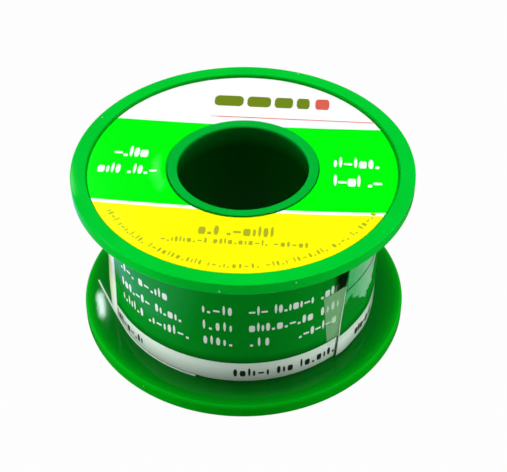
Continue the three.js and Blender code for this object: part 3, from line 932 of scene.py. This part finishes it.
# Rows of marks: first and last place, height, tallness and words. Then the arc, from one angle to
# another, and single bars: the middle's place and height, length and tallness.
WHITE_WORDS = (
    (-22.9, -17.1, 3.0, 3.0, (5,)), (-25.2, -14.9, -1.8, 2.7, (4, 5)),
    (15.8, 23.7, 2.6, 2.9, (7,)), (15.9, 24.1, -2.4, 3.1, (4, 2)),
)
THIN_WORDS = (
    (-6.0, 6.4, -16.6, 2.6, (3, 7)), (-12.0, 12.2, -19.3, 1.4, (10, 11, 6)),
)
ARC_WORDS = (207, 331, 1.2, (4, 9, 12, 10, 5, 8, 4, 2, 5))
OLIVE_BARS = (
    (-4.15, 19.4, 5.4, 3.2), (1.45, 19.4, 4.4, 3.2), (6.05, 19.4, 3.4, 3.2), (9.65, 19.4, 2.4, 3.2),
)
RED_RULE = (8.3, 14.45, 31.0, 0.22)
RED_BLOCK = (13.2, 19.4, 2.6, 3.2)

white_bars = sum((marks(draw, *row) for row in WHITE_WORDS), [])
thin_bars = sum((marks(draw, *row) for row in THIN_WORDS), [])
arc_start, arc_end, arc_tall, arc_words = ARC_WORDS
arc_ends = (np.radians(arc_start) * ARC_RADIUS, np.radians(arc_end) * ARC_RADIUS)
arc_bars = marks(draw, *arc_ends, 0, arc_tall, arc_words)
for name, ink, bars, place in (
    ("sticker_white_bars", white_ink, white_bars, on_sticker),
    ("sticker_olive_bars", olive_ink, OLIVE_BARS, on_sticker),
    ("sticker_thin_bars", pale_olive_ink, thin_bars, on_sticker),
    ("sticker_red_rule", red_ink, [RED_RULE], on_sticker),
    ("sticker_red_block", red_ink, [RED_BLOCK], on_sticker),
    ("sticker_arc_bars", pale_olive_ink, arc_bars, on_sticker_arc),
):
    inked(name, ink, np.array(bars) * MM, place)


# ---------------------------------------------------------------------------------------------
# Stage: a plain pale floor, a white world and soft studio lamps.

FLOOR_REACH = 2
FLOOR_GREY, FLOOR_GREY_MIRRORED = 0.35, 0.05  # the floor that catches light and shadow
FLOOR_SHOWN_WHITE = 0.975  # how much of the floor's colour is plain white, the rest is lit and shadowed
# A pool of light is painted on the floor for mirrored rays only, left of the reel, with the reel's shadow
# painted inside its inner edge.
FLOOR_MIRRORED_WHITE = 1.0  # in the part of the floor that the label mirrors
FLOOR_MIRRORED = (0.35, 0.66, 1.0)  # its colour there, with the light that the green reel throws on it
FLOOR_POOL = (33 * MM, 37 * MM, 50 * MM, 56 * MM)  # that part's soft inner and outer edge, from the axis
FLOOR_POOL_LEFT = (-30 * MM, -18 * MM)  # it lies to the left of the reel, with this soft edge in x

floor = surface(
    "floor",
    np.array([[(-1, -1, 0), (-1, 1, 0)], [(1, -1, 0), (1, 1, 0)]], float) * FLOOR_REACH,
    around=False,
    along=False,
)


def seen_directly(tree, share, mirrored_share):
    """share for rays from the camera, mirrored_share (a socket or a number) for those that a
    glossy or clear surface sends on, and 0 for the others."""
    path = tree.nodes.new("ShaderNodeLightPath")
    rays = maths(tree, "MAXIMUM", path.outputs["Is Glossy Ray"], path.outputs["Is Transmission Ray"])
    direct = both(tree, path.outputs["Is Camera Ray"], share)
    return maths(tree, "MAXIMUM", direct, both(tree, rays, mirrored_share))


def blended(tree, output, mask, first, second):
    """Ends a cleared node tree in an output node that shows second where the mask is 1, else first."""
    mixed = tree.nodes.new("ShaderNodeMixShader")
    tree.links.new(mask, mixed.inputs["Fac"])
    tree.links.new(first, mixed.inputs[1])
    tree.links.new(second, mixed.inputs[2])
    tree.links.new(mixed.outputs["Shader"], tree.nodes.new(output).inputs["Surface"])


floor_white = bpy.data.materials.new("floor_white")
floor_white.use_nodes = True
tree = floor_white.node_tree
tree.nodes.clear()
glossy = tree.nodes.new("ShaderNodeLightPath").outputs["Is Glossy Ray"]
diffuse = tree.nodes.new("ShaderNodeBsdfDiffuse")
tree.links.new(ranged(tree, glossy, 0, 1, FLOOR_GREY, FLOOR_GREY_MIRRORED), diffuse.inputs["Color"])
white = tree.nodes.new("ShaderNodeEmission")
tree.links.new(painted(tree, (1.0, 1.0, 1.0), FLOOR_MIRRORED, glossy), white.inputs["Color"])
from_axis = axis_distance(tree)
inner_edge = ranged(tree, from_axis, *FLOOR_POOL[:2], 0, FLOOR_MIRRORED_WHITE)
pool = both(tree, inner_edge, ranged(tree, from_axis, *FLOOR_POOL[2:], 1, 0))
pool = both(tree, pool, ranged(tree, place_on(tree)["X"], *FLOOR_POOL_LEFT, 1, 0))
shown = seen_directly(tree, FLOOR_SHOWN_WHITE, pool)
blended(tree, "ShaderNodeOutputMaterial", shown, diffuse.outputs["BSDF"], white.outputs["Emission"])
floor.data.materials.append(floor_white)

WORLD_LIGHT = 0.01
WORLD_MIRRORED_WHITE = 0.04

world = bpy.data.worlds.new("studio")
bpy.context.scene.world = world
world.use_nodes = True
tree = world.node_tree
tree.nodes.clear()
ambient = tree.nodes.new("ShaderNodeBackground")
ambient.inputs["Strength"].default_value = WORLD_LIGHT
backdrop = tree.nodes.new("ShaderNodeBackground")
backdrop.inputs["Color"].default_value = (1, 1, 1, 1)
shown = seen_directly(tree, 1.0, WORLD_MIRRORED_WHITE)
blended(tree, "ShaderNodeOutputWorld", shown, ambient.outputs["Background"], backdrop.outputs["Background"])


def softbox(name, place, width, depth, power, mirrored=False, colour=(1.0, 1.0, 1.0)):
    """An area lamp at a place, facing the middle of the reel, that shows in glossy surfaces only
    where mirrored is set."""
    data = bpy.data.lights.new(name, "AREA")
    data.shape = "RECTANGLE"
    data.size, data.size_y = width, depth
    data.energy = power
    data.color = colour
    lamp = bpy.data.objects.new(name, data)
    x, y, z = np.array(place) - (0, 0, REEL_WIDTH / 2)
    lamp.location = place
    lamp.rotation_euler = (np.arctan2(np.hypot(x, y), z), 0, np.arctan2(x, -y))
    lamp.visible_camera = False
    lamp.visible_glossy = mirrored
    bpy.context.scene.collection.objects.link(lamp)


WINDOW_LIGHT = (0.83, 1.0, 0.97)
softbox("overhead", (0.0, -0.01, 0.79), width=0.8, depth=0.3, power=7.3)
softbox(
    "window",
    (-0.1252, 0.5545, 0.5685),
    width=0.005,
    depth=0.019,
    power=0.027,
    mirrored=True,
    colour=WINDOW_LIGHT,
)
softbox("sheen", (-0.154, 0.621, 0.524), width=0.01, depth=0.06, power=0.015, mirrored=True)
softbox("left", (-0.81, -0.17, 0.04), width=0.3, depth=0.07, power=5.9)
softbox("right", (0.80, -0.20, 0.04), width=0.3, depth=0.07, power=4.6)

bpy.context.scene.view_settings.view_transform = "Standard"
